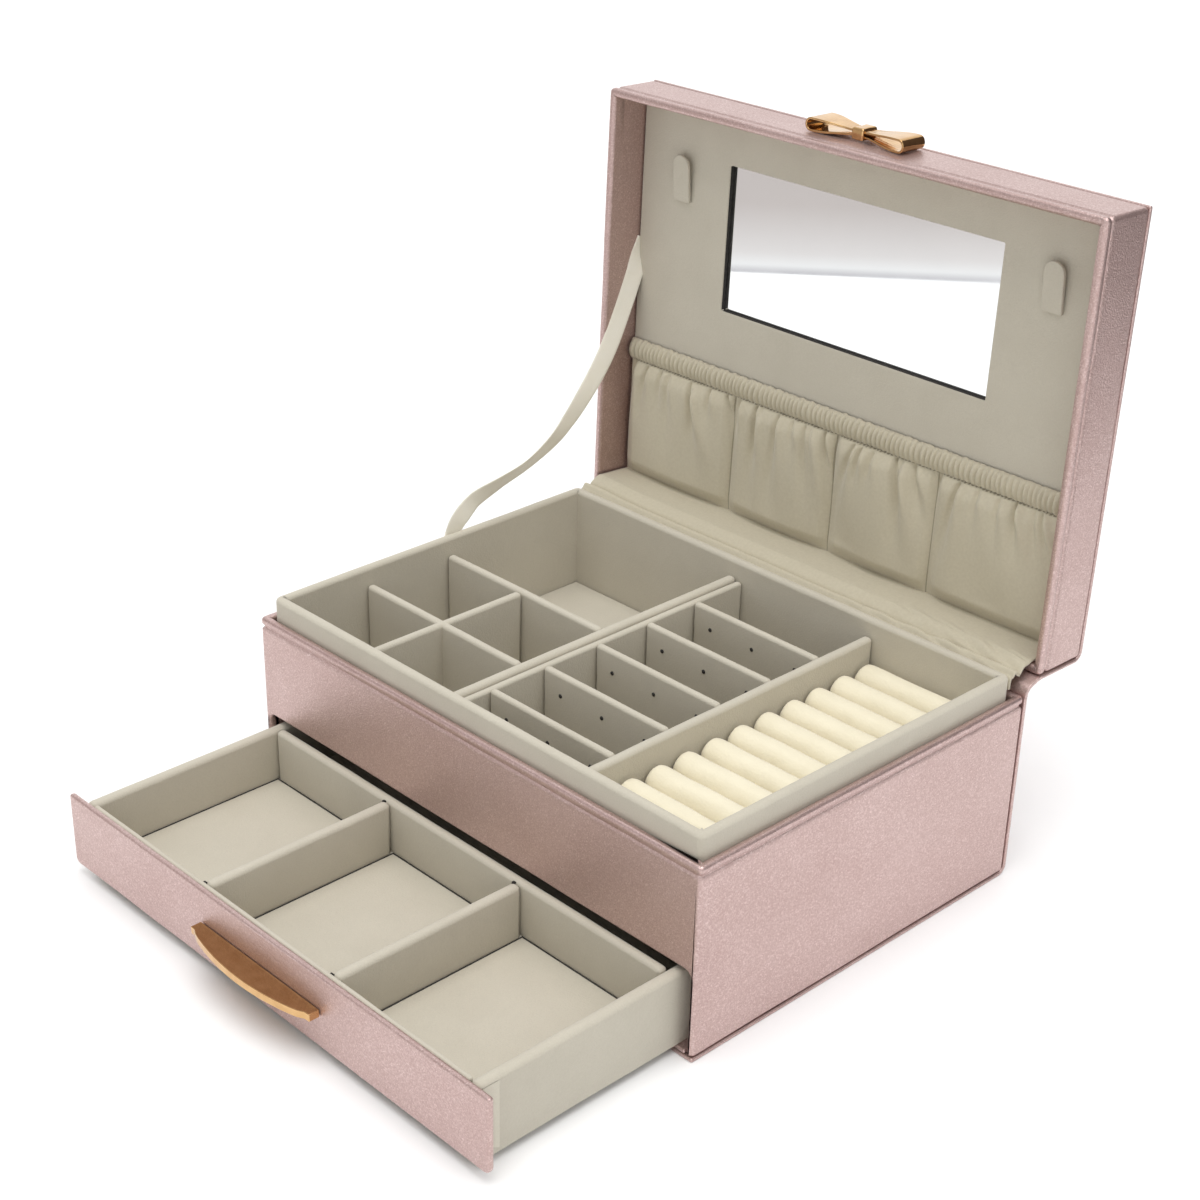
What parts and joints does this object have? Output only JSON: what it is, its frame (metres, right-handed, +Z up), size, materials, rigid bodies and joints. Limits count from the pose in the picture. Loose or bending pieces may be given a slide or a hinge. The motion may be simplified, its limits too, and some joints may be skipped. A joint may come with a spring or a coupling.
{
  "type": "jewellery chest",
  "caption": "Leatherette jewellery chest with a divided tray, earring panels and ring pads, a mirror lid with a gathered pocket on a cloth hinge, and a lined drawer with a metal pull.",
  "frame": {"origin": "centre of the underside of the case, on the surface it stands on", "axes": "+X to the right along the front, +Y to the back, +Z up"},
  "size_m": [0.23, 0.3012, 0.2514],
  "materials": {
    "leatherette": "pearl pink leatherette with a fine grain",
    "greige_lining": "card core wrapped in short-pile greige lining",
    "cream_plush": "cream plush over foam",
    "pocket_fabric": "soft woven cream cloth",
    "satin_ribbon": "cream satin",
    "mirror_glass": "silvered",
    "gold_metal": "polished light gold",
    "core_board": "dark card"
  },
  "bodies": {
    "base": {"bottom_cover_board": "leatherette", "back_cover_board": "leatherette", "case_floor": "leatherette", "case_side_left": "leatherette", "case_side_right": "leatherette", "case_front_band": "leatherette", "case_back_wall": "leatherette", "tray_floor": "greige_lining", "tray_wall_front": "greige_lining", "tray_wall_back": "greige_lining", "tray_wall_left": "greige_lining", "tray_wall_right": "greige_lining", "long_divider_left": "greige_lining", "long_divider_right": "greige_lining", "cell_divider_front": "greige_lining", "cell_divider_rear": "greige_lining", "cell_partition": "greige_lining", "earring_side_panel": "greige_lining", "earring_panel_1": "greige_lining", "earring_panel_2": "greige_lining", "earring_panel_3": "greige_lining", "earring_panel_4": "greige_lining", "earring_panel_5": "greige_lining", "ring_pad_1": "cream_plush", "ring_pad_2": "cream_plush", "ring_pad_3": "cream_plush", "ring_pad_4": "cream_plush", "ring_pad_5": "cream_plush", "ring_pad_6": "cream_plush", "ring_pad_7": "cream_plush", "ring_pad_8": "cream_plush", "ring_pad_9": "cream_plush", "ring_pad_10": "cream_plush", "ring_pad_11": "cream_plush", "hinge_spine": "leatherette", "hinge_lining": "pocket_fabric", "stay_ribbon": "satin_ribbon"},
    "lid": {"lid_cover_board": "leatherette", "lid_back_cover_board": "leatherette", "lid_wall_front": "leatherette", "lid_wall_back": "leatherette", "lid_wall_left": "leatherette", "lid_wall_right": "leatherette", "lid_top_board": "core_board", "lid_liner_panel": "greige_lining", "mirror": "mirror_glass", "necklace_tab_left": "greige_lining", "necklace_tab_right": "greige_lining", "pocket_cloth": "pocket_fabric", "bow_ornament": "gold_metal"},
    "drawer": {"drawer_front_panel": "leatherette", "drawer_floor": "greige_lining", "drawer_wall_left": "greige_lining", "drawer_wall_right": "greige_lining", "drawer_wall_front": "greige_lining", "drawer_wall_back": "greige_lining", "drawer_cross_wall": "greige_lining", "drawer_divider_left": "greige_lining", "drawer_divider_right": "greige_lining", "drawer_pull": "gold_metal"}
  },
  "joints": [
    {"name": "lid_hinge", "type": "hinge", "parent": "base", "child": "lid", "pos_m": [0, 0.08805, 0.07457], "axis": [1, 0, 0], "range_deg": [0, 91.6], "deforming": ["hinge_spine", "hinge_lining", "stay_ribbon"]},
    {"name": "drawer_slide", "type": "slide", "parent": "base", "child": "drawer", "axis": [0, 1, 0], "range_m": [-0.03, 0.085]}
  ]
}
